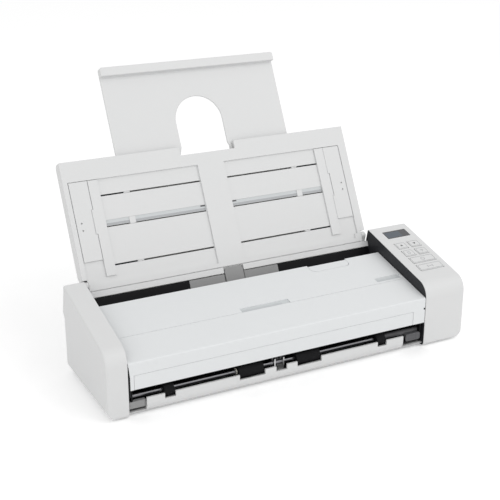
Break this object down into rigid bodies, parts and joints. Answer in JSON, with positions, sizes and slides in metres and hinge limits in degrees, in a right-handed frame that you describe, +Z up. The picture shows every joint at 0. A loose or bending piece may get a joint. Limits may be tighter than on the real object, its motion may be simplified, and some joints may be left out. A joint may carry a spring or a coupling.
{
  "type": "document scanner",
  "caption": "Portable sheet-fed document scanner with a fold-up paper tray, sliding extension, side guides, hinged cover and feed rollers.",
  "frame": {"origin": "on the table, at the bottom centre of the box round the opened scanner", "axes": "X to the scanner's right, Y to its back, Z up"},
  "size_m": [0.316, 0.1762, 0.2222],
  "materials": {
    "white_plastic": "fine-textured white plastic",
    "black_plastic": "fine-textured black plastic",
    "grey_plastic": "satin grey plastic",
    "gear_plastic": "natural white gear plastic",
    "steel": "bright drawn steel",
    "rubber": "matt black rubber",
    "sensor_housing": "matt black sensor housing",
    "clear_glass": "clear flat glass",
    "display_plastic": "glossy dark display window",
    "circuit_board": "green solder mask"
  },
  "bodies": {
    "casing": {"base_casing": "white_plastic", "rubber_feet": "rubber", "left_end_cap": "white_plastic", "right_end_cap": "white_plastic", "left_side_plate": "black_plastic", "right_side_plate": "black_plastic", "frame_beams": "steel", "rear_panel": "white_plastic", "case_screws": "steel", "main_board": "circuit_board", "dc_jack": "black_plastic", "usb_socket": "steel", "lower_guide": "black_plastic", "lower_sensor": "sensor_housing", "lower_glass": "clear_glass", "feed_sill": "white_plastic", "feed_insert": "grey_plastic", "shaft_bushes": "grey_plastic", "shaft_clip": "steel", "motor": "steel", "motor_bracket": "steel", "idler_pins": "steel", "panel_board": "circuit_board", "display_module": "display_plastic", "display_window": "display_plastic", "cover_hinge_pins": "steel"},
    "sensor_tab": {"sensor_tab": "grey_plastic"},
    "exit_drive": {"exit_shaft": "steel", "exit_rollers": "rubber", "exit_gear": "gear_plastic"},
    "feed_drive": {"feed_shaft": "steel", "feed_tyres": "rubber", "feed_gear": "gear_plastic"},
    "front_idler": {"front_idler_gear": "gear_plastic"},
    "back_idler": {"back_idler_gear": "gear_plastic"},
    "motor_rotor": {"motor_pinion": "gear_plastic"},
    "cover": {"cover_shell": "white_plastic", "front_strip": "white_plastic", "cover_frame": "black_plastic", "separation_holder": "black_plastic", "upper_sensor": "sensor_housing", "upper_glass": "clear_glass"},
    "release_tab": {"cover_release_tab": "white_plastic"},
    "separation_roller": {"separation_roller": "rubber"},
    "pinch_rollers": {"pinch_rollers": "rubber"},
    "tray": {"tray_front_plate": "white_plastic", "tray_rear_shell": "white_plastic", "tray_hinge_pins": "steel"},
    "extension": {"paper_extension": "white_plastic"},
    "left_guide": {"left_guide_base": "white_plastic"},
    "right_guide": {"right_guide_base": "white_plastic"},
    "left_flap": {"left_guide_flap": "white_plastic"},
    "right_flap": {"right_guide_flap": "white_plastic"},
    "guide_pinion": {"guide_pinion": "gear_plastic"},
    "key_up": {"key_up": "white_plastic"},
    "key_down": {"key_down": "white_plastic"},
    "key_mode": {"key_mode": "white_plastic"},
    "key_wireless": {"key_wireless": "white_plastic"},
    "key_power": {"key_power": "white_plastic"},
    "key_scan": {"key_scan": "white_plastic"}
  },
  "joints": [
    {"name": "tray_fold", "type": "hinge", "parent": "casing", "child": "tray", "pos_m": [0, 0.00585, 0.069], "axis": [1, 0, 0], "range_deg": [0, 130.35]},
    {"name": "extension_slide", "type": "slide", "parent": "tray", "child": "extension", "axis": [0, 0.4648, 0.8854], "range_m": [-0.0654, 0]},
    {"name": "left_guide_slide", "type": "slide", "parent": "tray", "child": "left_guide", "axis": [1, 0, 0], "range_m": [0, 0.06]},
    {"name": "right_guide_slide", "type": "slide", "parent": "tray", "child": "right_guide", "axis": [1, 0, 0], "range_m": [-0.06, 0]},
    {"name": "guide_pinion_spin", "type": "hinge", "parent": "tray", "child": "guide_pinion", "pos_m": [-0.0128, 0.02825, 0.10877], "axis": [0, -0.8854, 0.4648], "range_deg": [-955.2, 0.2]},
    {"name": "left_flap_fold", "type": "hinge", "parent": "left_guide", "child": "left_flap", "pos_m": [-0.1214, 0.02743, 0.11378], "axis": [0, -0.4648, -0.8854], "range_deg": [-90, 0]},
    {"name": "right_flap_fold", "type": "hinge", "parent": "right_guide", "child": "right_flap", "pos_m": [0.0958, 0.02743, 0.11378], "axis": [0, 0.4648, 0.8854], "range_deg": [-90, 0]},
    {"name": "cover_open", "type": "hinge", "parent": "casing", "child": "cover", "pos_m": [0, -0.08205, 0.0084], "axis": [-1, 0, 0], "range_deg": [-75, 0]},
    {"name": "release_tab_press", "type": "slide", "parent": "cover", "child": "release_tab", "axis": [0, 0.219, -0.9757], "range_m": [0, 0.001], "stiffness_N_per_m": 700, "springref_m": -0.0004},
    {"name": "separation_spin", "type": "hinge", "parent": "cover", "child": "separation_roller", "pos_m": [-0.0128, -0.01956, 0.04397], "axis": [1, 0, 0], "continuous": true},
    {"name": "pinch_spin", "type": "hinge", "parent": "cover", "child": "pinch_rollers", "pos_m": [-0.0128, -0.08272, 0.02304], "axis": [1, 0, 0], "continuous": true},
    {"name": "feed_spin", "type": "hinge", "parent": "casing", "child": "feed_drive", "pos_m": [0.125, -0.00983, 0.03152], "axis": [1, 0, 0], "continuous": true},
    {"name": "exit_spin", "type": "hinge", "parent": "casing", "child": "exit_drive", "pos_m": [0.125, -0.08055, 0.0142], "axis": [1, 0, 0], "continuous": true},
    {"name": "front_idler_spin", "type": "hinge", "parent": "casing", "child": "front_idler", "pos_m": [0.125, -0.06476, 0.02284], "axis": [1, 0, 0], "continuous": true},
    {"name": "motor_spin", "type": "hinge", "parent": "casing", "child": "motor_rotor", "pos_m": [0.125, -0.04863, 0.03168], "axis": [1, 0, 0], "continuous": true},
    {"name": "back_idler_spin", "type": "hinge", "parent": "casing", "child": "back_idler", "pos_m": [0.125, -0.03022, 0.03161], "axis": [1, 0, 0], "continuous": true},
    {"name": "sensor_tab_tilt", "type": "hinge", "parent": "casing", "child": "sensor_tab", "pos_m": [-0.0128, -0.00219, 0.05337], "axis": [-1, 0, 0], "range_deg": [0, 7], "stiffness_Nm_per_rad": 0.002, "springref_deg": -5.73},
    {"name": "key_up_press", "type": "slide", "parent": "casing", "child": "key_up", "axis": [0, 0.2379, -0.9713], "range_m": [0, 0.0005], "stiffness_N_per_m": 900, "springref_m": -0.0004},
    {"name": "key_down_press", "type": "slide", "parent": "casing", "child": "key_down", "axis": [0, 0.2379, -0.9713], "range_m": [0, 0.0005], "stiffness_N_per_m": 900, "springref_m": -0.0004},
    {"name": "key_mode_press", "type": "slide", "parent": "casing", "child": "key_mode", "axis": [0, 0.2379, -0.9713], "range_m": [0, 0.0005], "stiffness_N_per_m": 900, "springref_m": -0.0004},
    {"name": "key_wireless_press", "type": "slide", "parent": "casing", "child": "key_wireless", "axis": [0, 0.2379, -0.9713], "range_m": [0, 0.0005], "stiffness_N_per_m": 900, "springref_m": -0.0004},
    {"name": "key_power_press", "type": "slide", "parent": "casing", "child": "key_power", "axis": [0, 0.2379, -0.9713], "range_m": [0, 0.0005], "stiffness_N_per_m": 900, "springref_m": -0.0004},
    {"name": "key_scan_press", "type": "slide", "parent": "casing", "child": "key_scan", "axis": [0, 0.2379, -0.9713], "range_m": [0, 0.0005], "stiffness_N_per_m": 900, "springref_m": -0.0004}
  ],
  "couplings": [
    {"joint": "right_guide_slide", "follows": "left_guide_slide", "ratio": -1},
    {"joint": "guide_pinion_spin", "follows": "left_guide_slide", "rad_per_m": -208.33},
    {"joint": "back_idler_spin", "follows": "feed_spin", "ratio": -0.5},
    {"joint": "motor_spin", "follows": "feed_spin", "ratio": 1.4167},
    {"joint": "front_idler_spin", "follows": "feed_spin", "ratio": -0.5},
    {"joint": "exit_spin", "follows": "feed_spin", "ratio": 1.5455}
  ]
}
